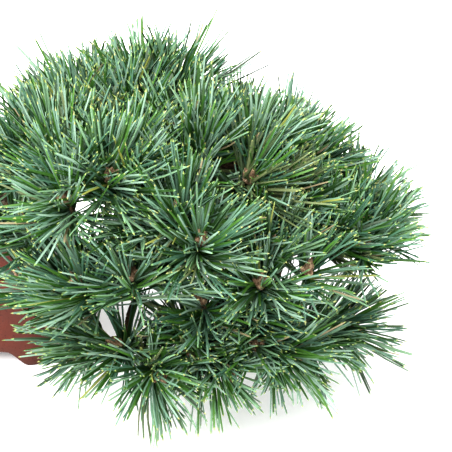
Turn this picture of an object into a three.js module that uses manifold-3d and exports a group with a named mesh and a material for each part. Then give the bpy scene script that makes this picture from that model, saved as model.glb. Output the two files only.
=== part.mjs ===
// A bonsai Japanese white pine in a red-brown clay pot, in millimetres, +Z up, the camera side at -Y.
// The trunk leaves the soil, leans right over the rim and runs on through a low dome of foliage to its right
// tip. Boughs leave it one after another. Each carries one mass: twigs with a tuft of needles at every tip.
import * as THREE from "three";
import { mergeVertices } from "three/addons/utils/BufferGeometryUtils.js";
import Module from "manifold-3d";

const wasm = await Module();
wasm.setup();

// Driving sizes. Lengths are in mm and angles in degrees. The middle of the pot's foot is at x 0, y 0, z 0.
// The pot's insets are measured inwards from the outline of its rim.
const pot = {
  length: 130,
  width: 95,
  height: 80,
  corner: 14,
  cornerShrink: 0.4,
  cornerSteps: 4,
  lipHeight: 9,
  lipRound: 1.5,
  lipInset: 2.5,
  bellyInset: 5.5,
  footInset: 8,
  wall: 6,
  floorInset: 12,
  floorBottom: 9,
  floorTop: 16,
  underInset: 15.5,
  cutoutFront: 34.5,
  cutoutSide: 18,
  cutoutHeight: 8.5,
  cutoutEase: 12,
  cutoutRound: 1.5,
  drainRadius: 6,
  drainApart: 56,
};
const soil = { edge: 70.5, crest: 73, plateau: 24, gap: 0.3, shoulder: [0.45, 0.6] };
const trunk = {
  foot: [10, 3],
  base: 13,
  tip: 3.4,
  flare: 7,
  flareRise: 9,
  roots: 5,
  rootDepth: 0.16,
  sides: 20,
  steps: 18,
  line: [
    [10, 3, 60],
    [11, 3, 76],
    [23, 3, 95],
    [48, -1, 107],
    [78, -9, 108],
    [112, -18, 103],
    [145, -28, 102],
    [175, -38, 98],
    [202, -44, 93],
  ],
};

const bough = {
  thick: 2.9,
  thin: 1.9,
  sides: 5,
  steps: 5,
  gap: 0.3,
  sweep: 0.16,
  arch: 0.12,
  insideMass: 3,
};
const twig = {
  thick: 1.7,
  thin: 1.2,
  sides: 3,
  clear: 0.4,
  stray: 3,
  forks: [0.45, 0.3, 0.6, 0.15, 0.75, 0.88],
};

// Each mass is a pad that bulges out of the crown and up. Its tufts stand on a golden spiral round its
// middle.
const crownMiddle = new THREE.Vector3(139, -38, 84);
const pad = { step: 10.8, first: 1.6, wide: 1.3, deep: 0.7, bulge: 60, outward: 0.45, scatter: 5 };
const tuft = {
  apart: 14,
  outward: 0.4,
  fan: 0.5,
  fanRadius: 30,
  lowUp: 0.2,
  highUp: 1,
  low: 50,
  high: 105,
  spread: 0.3,
  potClear: 12,
  trunkClear: 9,
  neck: 9,
  join: 4,
  heart: 5,
  sides: 5,
};
const needle = {
  length: 33,
  spread: [0.92, 1.06],
  cuts: [1, 0.8, 0.62, 0.46],
  lowestAim: -0.7,
  highestAim: 0.12,
  aimLow: 50,
  aimHigh: 85,
  thick: 1.4,
  clear: 1.2,
  wall: 0.45,
};
const ground = 4;

// The tuft's core: rings of points round its axis, each with its angle from the axis and its distance from
// the middle. Of the faces above each ring this share carries a needle.
const coreRings = [
  { angle: 20, radius: 3.6, share: 0.8 },
  { angle: 46, radius: 3.1, share: 0.94 },
  { angle: 80, radius: 2.6, share: 0.92 },
];

// One row for each bough and the mass on it. leaves: its place along the trunk, from 0 to 1. middle: that of
// its pad. turn: the angle at which the spiral of its tufts starts.
const masses = [
  { name: "left_high", leaves: 0.485, middle: [81, -98, 151], tufts: 6, turn: 240 },
  { name: "back_left", leaves: 0.445, middle: [79, -42, 147], tufts: 6, turn: 200 },
  { name: "crest", leaves: 0.58, middle: [107, -24, 152], tufts: 6, turn: 70 },
  { name: "centre_high", leaves: 0.7, middle: [139, -72, 147], tufts: 6, turn: 340 },
  { name: "right_high", leaves: 0.855, middle: [177, -50, 127], tufts: 6, turn: 260 },
  { name: "centre", leaves: 0.675, middle: [130, -115, 136], tufts: 3, turn: 20 },
  { name: "centre_right", leaves: 0.825, middle: [172, -104, 110], tufts: 3, turn: 330 },
  { name: "inner", leaves: 0.79, middle: [140, -110, 86], tufts: 2, turn: 240 },
  { name: "right", leaves: 0.935, middle: [203, -80, 104], tufts: 4, turn: 140 },
  { name: "far_right", leaves: 1, middle: [224, -50, 98], tufts: 4, turn: 120 },
  { name: "left_middle", leaves: 0.555, middle: [108, -120, 105], tufts: 3, turn: 290 },
  { name: "left_low", leaves: 0.405, middle: [75, -98, 82], tufts: 3, turn: 280 },
  { name: "left", leaves: 0.365, middle: [63, -80, 110], tufts: 3, turn: 330 },
  { name: "heart", leaves: 0.72, middle: [135, -108, 57], tufts: 3, turn: 180 },
  { name: "low_left", leaves: 0.61, middle: [100, -106, 58], tufts: 3, turn: 60 },
  { name: "low_right", leaves: 0.775, middle: [165, -108, 62], tufts: 4, turn: 180 },
  { name: "low_far_right", leaves: 0.88, middle: [193, -84, 50], tufts: 4, turn: 60 },
  { name: "back_right", leaves: 0.905, middle: [193, 4, 86], tufts: 6, turn: 240 },
  { name: "back", leaves: 0.64, middle: [92, 22, 108], tufts: 6, turn: 350 },
  { name: "back_low", leaves: 0.745, middle: [140, 28, 88], tufts: 7, turn: 260 },
  { name: "back_high", leaves: 0.8, middle: [152, 2, 118], tufts: 6, turn: 0 },
];

const looks = {
  clay: { color: 0x87483a, roughness: 0.72, metalness: 0 },
  soil: { color: 0x8c7d66, roughness: 0.95, metalness: 0 },
  bark: { color: 0x5b4436, roughness: 0.9, metalness: 0 },
  needles: { color: 0x4d7a50, roughness: 0.55, metalness: 0 },
};

const degrees = Math.PI / 180;
const goldenAngle = 137.508 * degrees;
const upward = new THREE.Vector3(0, 0, 1);
const vector = (p) => new THREE.Vector3(...p);
const mix = (a, b, share) => a + (b - a) * share;

// A seeded draw from 0 to 1, the same on every run.
function seeded(seed) {
  let state = seed >>> 0;
  return () => {
    state = (state + 0x6d2b79f5) >>> 0;
    let word = state;
    word = Math.imul(word ^ (word >>> 15), word | 1);
    word ^= word + Math.imul(word ^ (word >>> 7), word | 61);
    return ((word ^ (word >>> 14)) >>> 0) / 4294967296;
  };
}

// Solids and geometries: a closed mesh becomes a solid to be joined and cut, and comes back to be shown.
function solidOf(geometry) {
  const bare = geometry.clone();
  bare.deleteAttribute("normal");
  bare.deleteAttribute("uv");
  const merged = mergeVertices(bare, 1e-4);
  const mesh = new wasm.Mesh({
    numProp: 3,
    vertProperties: new Float32Array(merged.attributes.position.array),
    triVerts: new Uint32Array(merged.index.array),
  });
  return new wasm.Manifold(mesh);
}

function geometryOf(solid) {
  const mesh = solid.getMesh();
  const geometry = new THREE.BufferGeometry();
  geometry.setAttribute("position", new THREE.BufferAttribute(mesh.vertProperties, 3));
  geometry.setIndex(new THREE.BufferAttribute(mesh.triVerts, 1));
  geometry.computeVertexNormals();
  return geometry;
}

// The largest of the bodies that a solid falls into.
function largest(solid) {
  return solid.decompose().reduce((best, body) => (body.volume() > best.volume() ? body : best));
}

// A closed skin over rings of points that all have the same count, with a flat fan on each end.
function skinOf(rings) {
  const count = rings[0].length;
  const points = rings.flat();
  const faces = [];
  for (let r = 0; r + 1 < rings.length; r++) {
    for (let i = 0; i < count; i++) {
      const a = r * count + i;
      const b = r * count + ((i + 1) % count);
      faces.push(a, b, b + count, a, b + count, a + count);
    }
  }
  const last = (rings.length - 1) * count;
  for (let i = 1; i + 1 < count; i++) {
    faces.push(0, i + 1, i, last, last + i, last + i + 1);
  }
  const geometry = new THREE.BufferGeometry();
  geometry.setAttribute("position", new THREE.Float32BufferAttribute(points.flatMap((p) => p.toArray()), 3));
  geometry.setIndex(faces);
  return geometry;
}

// A level direction square to the one given, or +X where that one stands nearly upright.
function acrossFrom(along) {
  const side = new THREE.Vector3().crossVectors(along, upward);
  return side.length() > 0.3 ? side.normalize() : new THREE.Vector3(1, 0, 0);
}

// A limb: rings round a curve, square to it, without twist, of the radius that radiusAt gives for each share.
function limb(curve, radiusAt, sides, steps) {
  const rings = [];
  const side = acrossFrom(curve.getTangent(0));
  for (let s = 0; s <= steps; s++) {
    const share = s / steps;
    const along = curve.getTangent(share);
    side.addScaledVector(along, -side.dot(along)).normalize();
    const across = new THREE.Vector3().crossVectors(along, side);
    const middle = curve.getPoint(share);
    const ring = [];
    for (let i = 0; i < sides; i++) {
      const angle = (2 * Math.PI * i) / sides;
      const radius = radiusAt(share, angle, middle);
      const point = middle.clone();
      point.addScaledVector(side, radius * Math.cos(angle));
      point.addScaledVector(across, radius * Math.sin(angle));
      ring.push(point);
    }
    rings.push(ring);
  }
  return skinOf(rings);
}

// A twig: a straight stick with three sides, a little thinner at its far end.
function stick(from, to, roll) {
  const along = to.clone().sub(from).normalize();
  const side = acrossFrom(along).applyAxisAngle(along, roll);
  const ringAt = (middle, radius) =>
    Array.from({ length: twig.sides }, (_, i) => {
      const arm = side.clone().applyAxisAngle(along, (2 * Math.PI * i) / twig.sides);
      return middle.clone().addScaledVector(arm, radius);
    });
  return skinOf([ringAt(from, twig.thick), ringAt(to, twig.thin)]);
}

// The pot

// The pot's outline at one height, drawn in from the rim's by this much: a ring of points round four corners.
function potRing(inset, z) {
  const radius = pot.corner - inset * pot.cornerShrink;
  const ring = [];
  for (let quarter = 0; quarter < 4; quarter++) {
    const sideX = quarter === 0 || quarter === 3 ? 1 : -1;
    const sideY = quarter < 2 ? 1 : -1;
    for (let i = 0; i <= pot.cornerSteps; i++) {
      const angle = (quarter + i / pot.cornerSteps) * 90 * degrees;
      const x = sideX * (pot.length / 2 - inset - radius) + radius * Math.cos(angle);
      const y = sideY * (pot.width / 2 - inset - radius) + radius * Math.sin(angle);
      ring.push(new THREE.Vector3(x, y, z));
    }
  }
  return ring;
}

const skinOfProfile = (profile) => skinOf(profile.map(([inset, z]) => potRing(inset, z)));

// The opening between two feet: flat above, with a soft double curve down to each foot, right across the pot.
function footCutout(half, depth) {
  const top = pot.cutoutHeight;
  const round = pot.cutoutRound;
  const foot = half + pot.cutoutEase;
  const shoulder = top * 0.8;
  const shape = new THREE.Shape();
  shape.moveTo(-foot, -top);
  shape.lineTo(-foot, 0);
  shape.bezierCurveTo(-half - 5, 0, -half - 2 * round, top / 2, -half - round, shoulder);
  shape.quadraticCurveTo(-half - round / 2, top, -half + round, top);
  shape.lineTo(half - round, top);
  shape.quadraticCurveTo(half + round / 2, top, half + round, shoulder);
  shape.bezierCurveTo(half + 2 * round, top / 2, half + 5, 0, foot, 0);
  shape.lineTo(foot, -top);
  shape.closePath();
  const geometry = new THREE.ExtrudeGeometry(shape, { depth, bevelEnabled: false, curveSegments: 5 });
  geometry.translate(0, 0, -depth / 2);
  return geometry.rotateX(90 * degrees);
}

// The pot: walls that widen upwards to a plain lip, a floor with two drain holes, a foot under each corner.
function makePot() {
  const { height, lipRound, lipInset, floorTop, floorBottom } = pot;
  const underLip = height - pot.lipHeight;
  const past = 2 * lipRound;
  const outer = skinOfProfile([
    [pot.footInset, 0],
    [pot.bellyInset, floorTop],
    [lipInset + 0.5, underLip - 8 * lipRound],
    [lipInset, underLip],
    [lipInset / 5, underLip + lipRound],
    [0, underLip + 2 * lipRound],
    [0, height - lipRound],
    [lipRound, height],
  ]);
  const hollow = skinOfProfile([[pot.floorInset, floorTop], [pot.wall, height + past]]);
  const under = skinOfProfile([[pot.underInset, -past], [pot.underInset, floorBottom]]);
  const cuts = [hollow, under, footCutout(pot.cutoutFront, 2 * pot.width)];
  cuts.push(footCutout(pot.cutoutSide, 2 * pot.length).rotateZ(90 * degrees));
  for (const side of [-0.5, 0.5]) {
    const drain = new THREE.CylinderGeometry(pot.drainRadius, pot.drainRadius, 2 * floorTop, 16);
    cuts.push(drain.rotateX(90 * degrees).translate(side * pot.drainApart, 0, floorTop));
  }
  return geometryOf(cuts.reduce((solid, cut) => solid.subtract(solidOf(cut)), solidOf(outer)));
}

// The soil: a block that fills the pot, with a low mound whose flat top carries the trunk.
function makeSoil() {
  const bottom = pot.floorTop + soil.gap;
  const share = (soil.edge - pot.floorTop) / (pot.height + 2 * pot.lipRound - pot.floorTop);
  const edge = potRing(mix(pot.floorInset, pot.wall, share) + soil.gap, soil.edge);
  const rings = [potRing(pot.floorInset + soil.gap, bottom), edge];
  const [x, y] = trunk.foot;
  for (const [inward, rise] of [soil.shoulder, [1, 1]]) {
    const z = mix(soil.edge, soil.crest, rise);
    const moved = edge.map((point) => {
      const angle = Math.atan2(point.y - y, point.x - x);
      const goal = new THREE.Vector3(x, y, z);
      goal.x += soil.plateau * Math.cos(angle);
      goal.y += soil.plateau * Math.sin(angle);
      return point.clone().lerp(goal, inward).setZ(z);
    });
    rings.push(moved);
  }
  return skinOf(rings);
}

// The trunk and the boughs

const trunkCurve = new THREE.CatmullRomCurve3(trunk.line.map(vector), false, "catmullrom", 0.5);

function trunkRadius(share, angle, middle) {
  const flare = Math.exp(-Math.max(0, middle.z - soil.crest) / trunk.flareRise);
  const uneven = 0.035 * Math.sin(3 * angle + 9 * share);
  const ridges = 1 + trunk.rootDepth * flare * Math.cos(trunk.roots * angle) + uneven;
  return (mix(trunk.base, trunk.tip, Math.pow(share, 0.8)) + trunk.flare * flare) * ridges;
}

// The trunk, cut flat just above the soil, or the same grown by a little all round to cut others clear of it.
function trunkSolid(more) {
  const grownRadius = (share, angle, middle) => trunkRadius(share, angle, middle) + more;
  const skin = limb(trunkCurve, grownRadius, trunk.sides, trunk.steps);
  const under = new THREE.BoxGeometry(200, 200, 100).translate(0, 0, soil.crest + soil.gap - more - 50);
  return solidOf(skin).subtract(solidOf(under));
}

// The crown and its tufts

// True where a point is nearer than this to the pot or the ground.
function nearPot(point, clear) {
  const acrossPot = Math.max(Math.abs(point.x) - pot.length / 2, Math.abs(point.y) - pot.width / 2);
  return Math.max(acrossPot, point.z - pot.height) < clear || point.z < clear + ground;
}

// Beads along the middle of each limb, for what must keep clear of it. The trunk and the boughs are of no
// mass.
const beads = [];
function beadsAlong(pointAt, radiusAt, count, mass) {
  for (let i = 0; i <= count; i++) {
    const middle = pointAt(i / count);
    beads.push({ middle, radius: radiusAt(i / count, middle), mass });
  }
}
const trunkReach = (share, middle) => trunkRadius(share, 0, middle) * (1 + trunk.rootDepth);
beadsAlong((share) => trunkCurve.getPoint(share), trunkReach, 70, -1);

// Tufts turn out of the crown and of their own pad, and up to the light, the lowest ones least.
function tuftAxis(place, middle, random) {
  const lift = mix(tuft.lowUp, tuft.highUp, THREE.MathUtils.smoothstep(place.z, tuft.low, tuft.high));
  const shake = new THREE.Vector3(random() - 0.5, random() - 0.5, random() - 0.5).multiplyScalar(tuft.spread);
  const axis = place.clone().sub(crownMiddle).normalize().multiplyScalar(tuft.outward);
  axis.addScaledVector(place.clone().sub(middle), tuft.fan / tuft.fanRadius);
  return axis.addScaledVector(upward, lift).add(shake).normalize();
}

// The tufts of the whole crown, pad by pad. One too near to another, to the pot or to the trunk is left out.
function sowTufts() {
  const random = seeded(4127);
  const sown = [];
  for (const [mass, row] of masses.entries()) {
    const middle = vector(row.middle);
    const out = middle.clone().sub(crownMiddle).normalize();
    const facing = out.clone().multiplyScalar(pad.outward).add(upward).normalize();
    const across = upward.clone().cross(out).normalize();
    const along = facing.clone().cross(across);
    for (let i = 0; i < row.tufts; i++) {
      const away = i ? pad.step * Math.sqrt(i + pad.first) : 0;
      const angle = row.turn * degrees + i * goldenAngle;
      const place = middle.clone().addScaledVector(across, Math.cos(angle) * away * pad.wide);
      place.addScaledVector(along, Math.sin(angle) * away * pad.deep);
      place.addScaledVector(facing, -(away ** 2 / (2 * pad.bulge) + (random() - 0.5) * pad.scatter));
      const axis = tuftAxis(place, middle, random);
      if (nearPot(place, tuft.potClear)) continue;
      if (sown.some((other) => other.place.distanceTo(place) < tuft.apart)) continue;
      if (beads.some((bead) => bead.middle.distanceTo(place) < bead.radius + tuft.trunkClear)) continue;
      sown.push({ place, axis, mass, heart: place.clone().addScaledVector(axis, tuft.heart) });
    }
  }
  return sown;
}

const tufts = sowTufts();
const grown = masses.map((row, index) => ({
  ...row,
  random: seeded(977 * (index + 1)),
  tufts: tufts.filter((one) => one.mass === index),
}));

// How far inside a space a point lies: the space of one tuft, or of a whole mass where isOwn says so.
function depthInSpace(point, isOwn) {
  let own = Infinity;
  let other = Infinity;
  for (const one of tufts) {
    const far = one.heart.distanceTo(point);
    if (isOwn(one)) own = Math.min(own, far);
    else other = Math.min(other, far);
  }
  return (other - own) / 2;
}

// A bough leaves the trunk along it and outwards, and ends where the space of its mass begins. The mass at
// the far end of the trunk has none: its stem goes on from the trunk's own tip.
const boughRadius = (share) => mix(bough.thick, bough.thin, share);
for (const [index, mass] of grown.entries()) {
  const root = trunkCurve.getPoint(mass.leaves);
  const along = trunkCurve.getTangent(mass.leaves);
  if (mass.leaves === 1) {
    Object.assign(mass, { foot: root, onward: along });
    continue;
  }
  const middle = new THREE.Vector3();
  for (const { place } of mass.tufts) middle.addScaledVector(place, 1 / mass.tufts.length);
  const core = crownMiddle.clone().lerp(root, 0.6);
  const isOwn = (one) => one.mass === index;
  let share = 0.5;
  const depthAt = (at) => depthInSpace(core.clone().lerp(middle, at), isOwn);
  while (share < 0.85 && depthAt(share) < bough.insideMass) share += 0.03;
  mass.foot = core.clone().lerp(middle, share);
  const span = root.distanceTo(mass.foot);
  const bend = root.clone().lerp(mass.foot, 0.45).addScaledVector(along, span * bough.sweep);
  bend.z += span * bough.arch;
  mass.boughCurve = new THREE.QuadraticBezierCurve3(root, bend, mass.foot);
  mass.onward = mass.boughCurve.getTangent(1);
  beadsAlong((at) => mass.boughCurve.getPoint(at), boughRadius, 14, -1);
}

// The twigs and needles

// The stem of each mass carries on from the bough's end to its first tuft.
const stemRadius = (share) => mix(bough.thin, twig.thin, share);
const joinOf = (one) => one.place.clone().addScaledVector(one.axis, -tuft.join);
for (const [index, mass] of grown.entries()) {
  const { foot, onward } = mass;
  const lead = mass.tufts[0];
  const start = foot.clone().addScaledVector(onward, bough.gap);
  const bend = start.clone().addScaledVector(onward, start.distanceTo(lead.place) * 0.4);
  const neck = lead.place.clone().addScaledVector(lead.axis, -tuft.neck * 1.2);
  mass.stemCurve = new THREE.CubicBezierCurve3(start, bend, neck, joinOf(lead));
  beadsAlong((at) => mass.stemCurve.getPoint(at), stemRadius, 12, index);
}

// True where a straight stick keeps clear of every bead that counts.
function clearOf(counts, from, to, [thick, thin], clear) {
  const samples = 10;
  const near = beads.filter(counts);
  for (let i = 0; i <= samples; i++) {
    const point = from.clone().lerp(to, i / samples);
    const radius = mix(thick, thin, i / samples);
    if (near.some((bead) => bead.middle.distanceTo(point) < bead.radius + radius + clear)) return false;
  }
  return true;
}

// True where a twig keeps to the space of its mass, but for a short stray.
function staysInMass(from, to, index) {
  const depthAt = (at) => depthInSpace(from.clone().lerp(to, at), (one) => one.mass === index);
  return [0.2, 0.4, 0.6, 0.8].every((at) => depthAt(at) > -twig.stray) && depthAt(1) > twig.thin;
}

// Side twigs leave the stem, or a twig before them, for the other tufts. One that would leave the mass's
// space or touch a limb or another mass's twig is left out with its tuft.
for (const [index, mass] of grown.entries()) {
  const own = mass.tufts;
  const forks = twig.forks.map((at) => mass.stemCurve.getPoint(at));
  mass.carried = [own[0]];
  mass.twigs = [];
  for (const next of [...own, ...own]) {
    if (mass.carried.includes(next)) continue;
    const goal = joinOf(next);
    const others = (bead) => bead.mass !== index;
    const fork = forks.find((from) => {
      const away = from.clone().lerp(goal, 0.12);
      if (!staysInMass(from, goal, index)) return false;
      return clearOf(others, away, goal, [twig.thick, twig.thin], twig.clear);
    });
    if (fork === undefined) continue;
    mass.twigs.push([fork, goal]);
    mass.carried.push(next);
    forks.push(fork.clone().lerp(goal, 0.6), fork.clone().lerp(goal, 0.85));
    beadsAlong((at) => fork.clone().lerp(goal, at), (at) => mix(twig.thick, twig.thin, at), 11, index);
  }
}

// The points of a tuft's core, and its faces with the share of them that carry a needle.
function tuftCore({ place, axis }, roll) {
  const side = acrossFrom(axis).applyAxisAngle(axis, roll);
  const n = tuft.sides;
  const points = [place.clone().addScaledVector(axis, coreRings[0].radius + 0.6)];
  coreRings.forEach(({ angle, radius }, ring) => {
    for (let i = 0; i < n; i++) {
      const round = ((i + (ring % 2) / 2) / n) * 2 * Math.PI;
      const arm = side.clone().applyAxisAngle(axis, round).multiplyScalar(radius * Math.sin(angle * degrees));
      points.push(place.clone().addScaledVector(axis, radius * Math.cos(angle * degrees)).add(arm));
    }
  });
  points.push(place.clone().addScaledVector(axis, -tuft.neck));
  const faces = [];
  for (let i = 0; i < n; i++) {
    const next = (i + 1) % n;
    faces.push({ face: [0, 1 + i, 1 + next], share: coreRings[0].share });
    for (let ring = 0; ring + 1 < coreRings.length; ring++) {
      const shift = ring % 2;
      const share = coreRings[ring + 1].share;
      const a = 1 + ring * n;
      const b = a + n;
      faces.push({ face: [a + i, b + ((i + shift) % n), a + next], share });
      faces.push({ face: [b + i, b + next, a + ((i + 1 - shift) % n)], share });
    }
    const last = 1 + (coreRings.length - 1) * n;
    faces.push({ face: [last + i, points.length - 1, last + next], share: 0 });
  }
  return { points, faces };
}

// One tuft: a slim core with a needle drawn out of most of its faces, each within the cone of its own face. A
// needle with no room is tried shorter, and is left out where that doesn't fit either. So is one that points
// further down than the tuft's height lets it: needles turn up to the light.
function tuftSolid(one, random) {
  const { points, faces } = tuftCore(one, random() * 2);
  const indices = [];
  const depth = (point) => depthInSpace(point, (other) => other === one);
  const others = ({ mass, middle }) => mass !== one.mass || middle.distanceTo(one.place) > tuft.neck * 0.6;
  const height = THREE.MathUtils.smoothstep(one.place.z, needle.aimLow, needle.aimHigh);
  const lowest = mix(needle.lowestAim, needle.highestAim, height);
  for (const { face, share } of faces) {
    const weights = face.map(() => 0.6 + random());
    const sum = weights.reduce((all, weight) => all + weight);
    const root = new THREE.Vector3();
    face.forEach((corner, i) => root.addScaledVector(points[corner], weights[i] / sum));
    const aim = root.clone().sub(one.place).normalize();
    const drawn = random() < share && aim.z > lowest;
    const long = needle.length * mix(...needle.spread, random());
    const fits = (cut) => {
      const along = (at) => root.clone().addScaledVector(aim, long * cut * at);
      if ([0, 0.25, 0.5, 0.75, 1].some((at) => nearPot(along(at), needle.clear))) return false;
      if (depth(along(1)) < needle.wall || depth(along(0.5)) < 2 * needle.wall) return false;
      return clearOf(others, along(0.15), along(1), [needle.thick, 0.2], needle.clear);
    };
    const cut = drawn ? needle.cuts.find(fits) : undefined;
    if (cut === undefined) {
      indices.push(...face);
      continue;
    }
    const [a, b, c] = face;
    const tip = points.push(root.addScaledVector(aim, long * cut)) - 1;
    indices.push(a, b, tip, b, c, tip, c, a, tip);
  }
  const geometry = new THREE.BufferGeometry();
  geometry.setAttribute("position", new THREE.Float32BufferAttribute(points.flatMap((p) => p.toArray()), 3));
  geometry.setIndex(indices);
  return solidOf(geometry);
}

// One mass: its stem, its twigs and the tufts they carry.
function massSolid(mass) {
  const { stemCurve, twigs, carried, random } = mass;
  const solids = [solidOf(limb(stemCurve, stemRadius, bough.sides, bough.steps))];
  for (const [fork, goal] of twigs) solids.push(solidOf(stick(fork, goal, random() * 2)));
  for (const one of carried) solids.push(tuftSolid(one, random));
  return largest(wasm.Manifold.union(solids));
}

// The whole plant in its pot

const potted = new THREE.Group();

function add(name, geometry, look) {
  const mesh = new THREE.Mesh(geometry, new THREE.MeshStandardMaterial(looks[look]));
  mesh.name = name;
  potted.add(mesh);
}

add("pot", makePot(), "clay");
add("soil", makeSoil(), "soil");
add("trunk", geometryOf(trunkSolid(0)), "bark");

// Each bough is cut clear of the trunk and of the boughs before it. A mass that still grazes a limb is cut
// clear of it too.
const limbsGrown = [trunkSolid(bough.gap)];
for (const mass of grown.filter((one) => one.boughCurve)) {
  const radiusOf = (more) => (share) => boughRadius(share) + more;
  const limbOf = (more) => solidOf(limb(mass.boughCurve, radiusOf(more), bough.sides, bough.steps));
  const cut = limbsGrown.reduce((solid, other) => solid.subtract(other), limbOf(0));
  limbsGrown.push(limbOf(1.4 * bough.gap));
  add(`bough_${mass.name}`, geometryOf(largest(cut)), "bark");
}
const keepOut = wasm.Manifold.union(limbsGrown);
for (const mass of grown) {
  const solid = massSolid(mass);
  const grazes = solid.intersect(keepOut).volume() > 0;
  add(`needles_${mass.name}`, geometryOf(grazes ? largest(solid.subtract(keepOut)) : solid), "needles");
}

// The origin goes to the middle of the underside of the whole plant's box.
const middle = new THREE.Box3().setFromObject(potted).getCenter(new THREE.Vector3());
potted.position.set(-middle.x, -middle.y, 0);

export default potted;
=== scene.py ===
import math
import bmesh
import bpy
import numpy as np
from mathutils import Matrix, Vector


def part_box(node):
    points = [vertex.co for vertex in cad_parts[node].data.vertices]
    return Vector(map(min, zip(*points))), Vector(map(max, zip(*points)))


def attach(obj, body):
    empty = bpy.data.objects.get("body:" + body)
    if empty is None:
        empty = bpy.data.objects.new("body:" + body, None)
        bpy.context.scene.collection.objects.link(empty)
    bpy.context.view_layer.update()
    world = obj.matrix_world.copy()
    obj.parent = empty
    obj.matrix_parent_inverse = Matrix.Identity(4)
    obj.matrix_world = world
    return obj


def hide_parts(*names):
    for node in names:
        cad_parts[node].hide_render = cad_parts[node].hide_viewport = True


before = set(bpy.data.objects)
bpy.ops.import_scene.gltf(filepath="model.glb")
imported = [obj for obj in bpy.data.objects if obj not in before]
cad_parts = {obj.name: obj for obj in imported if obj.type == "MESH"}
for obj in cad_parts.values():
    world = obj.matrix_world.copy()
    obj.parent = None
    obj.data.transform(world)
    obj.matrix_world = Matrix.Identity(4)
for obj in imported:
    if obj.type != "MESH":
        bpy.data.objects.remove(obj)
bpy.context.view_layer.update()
print("frame loaded:", len(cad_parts), "solids")

# A bonsai Japanese white pine in a red-brown clay pot. Everything is worked out in mm from the middle of the
# pot's foot, the camera side at -Y, and goes into the frame in metres when its mesh is made.
potLow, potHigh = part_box("pot")
potMiddle = np.array([(potLow.x + potHigh.x) / 2, (potLow.y + potHigh.y) / 2, 0.0])
potSizes = {
    "length": (potHigh.x - potLow.x) * 1000,
    "width": (potHigh.y - potLow.y) * 1000,
    "height": potHigh.z * 1000,
    "corner": 14, "cornerShrink": 0.4, "cornerSteps": 12, "sideSteps": 44, "endSteps": 32,
    "lipHeight": 9, "lipInset": 2.5, "belly": 20, "bellyInset": 5.5, "lowSteps": 4, "wallSteps": 8,
    "footInset": 8, "footRound": ((1.0, 0), (0.25, 0.25), (0, 0.9)),
    "wall": 6, "floorInset": 12, "floorBottom": 9, "floorTop": 16, "underInset": 15.5, "innerRise": 3,
    "cutoutFront": 34.5, "cutoutSide": 18, "cutoutHeight": 8.5, "cutoutEase": 12,
    "drainRadius": 6, "drainApart": 56, "sharpAngle": 38,
}
soilHabit = {
    "edge": 70.5, "crest": 73, "plateau": 24, "slope": 40, "clear": 0.3, "sunk": 1.2,
    "mound": ((0.2, 0.35), (0.45, 0.6), (0.7, 0.85), (1, 1)),  # shares of the way inward and up
    "grains": 1500, "smallest": 1.1, "largest": 2.3, "mostlySmall": 1.6, "bedded": 0.5,
    "heaped": (-0.5, 0.6), "stretch": (0.75, 1.2), "dents": ((1.6, 0.28),), "tilt": 0.9,
    "kinds": (0.34, 0.28, 0.2, 0.18), "corner": 10, "cornerReach": 9.0, "trunkClear": 11,
}
trunkHabit = {
    "foot": (10, 3), "base": 13, "tip": 3.4, "taper": 0.8, "flare": 7, "flareRise": 9,
    "roots": 5, "rootDepth": 0.16, "ripple": 0.035, "sunk": 4, "barkDepth": 1.2,
    "sides": 112, "steps": 330, "beads": 70,
    "line": [
        (10, 3, 60), (11, 3, 76), (23, 3, 95), (48, -1, 107), (78, -9, 108),
        (112, -18, 103), (145, -28, 102), (175, -38, 98), (202, -44, 93),
    ],
}
boughHabit = {
    "thick": 2.9, "thin": 1.9, "sweep": 0.16, "arch": 0.12, "bendAt": 0.45, "core": 0.6,
    "insideMass": 3, "shortest": 0.5, "longest": 0.85, "reachStep": 0.03,
    "collar": 1.5, "collarFade": 14, "ripple": 0.18, "barkDepth": 0.35, "sides": 14, "steps": 40, "beads": 14,
}
twigHabit = {
    "thick": 1.7, "thin": 1.2, "clear": 0.4, "clearFrom": 0.12, "stray": 3, "strayFrom": 0.2,
    "forks": (0.45, 0.3, 0.6, 0.15, 0.75, 0.88), "sideForks": (0.6, 0.85), "stemBend": 0.4, "stemNeck": 1.2,
    "wander": 0.05, "neckShare": 0.35, "neckMost": 9, "ripple": 0.12, "barkDepth": 0.2,
    "shootBelow": 12, "shootAbove": 1.5, "shootThin": 1.3, "shootThick": 1.5, "shootSteps": 8,
    "sides": 8, "steps": 12, "beads": 11, "stemBeads": 12,
}
padHabit = {"step": 10.8, "first": 1.6, "wide": 1.3, "deep": 0.7, "bulge": 60, "outward": 0.45, "scatter": 5}
tuftHabit = {
    "apart": 14, "outward": 0.4, "fan": 0.5, "fanReach": 30, "lowUp": 0.2, "highUp": 1.0, "low": 50,
    "high": 105, "spread": 0.3, "potClear": 12, "groundClear": 4, "trunkClear": 9, "neck": 9, "join": 4,
    "heart": 5,
}
crownMiddle = np.array([139.0, -38.0, 84.0])
stageSetup = {
    "aimAt": (151, -45, 89), "elevation": 30, "distance": 800,
    "focalPixels": 1600, "frameWidth": 452, "sensor": 36, "nearest": 0.01, "furthest": 50,
    "sky": 1.55, "key": 52, "keyAt": (-260, -380, 1000), "keySize": 1.8,
    "floorReach": 6.0, "floorTone": 0.97, "floorGlow": 0.12,
}
rise = math.radians(stageSetup["elevation"])
lookAlong = np.array([0, math.cos(rise), -math.sin(rise)])
lookUp = np.array([0, math.sin(rise), math.cos(rise)])

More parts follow.
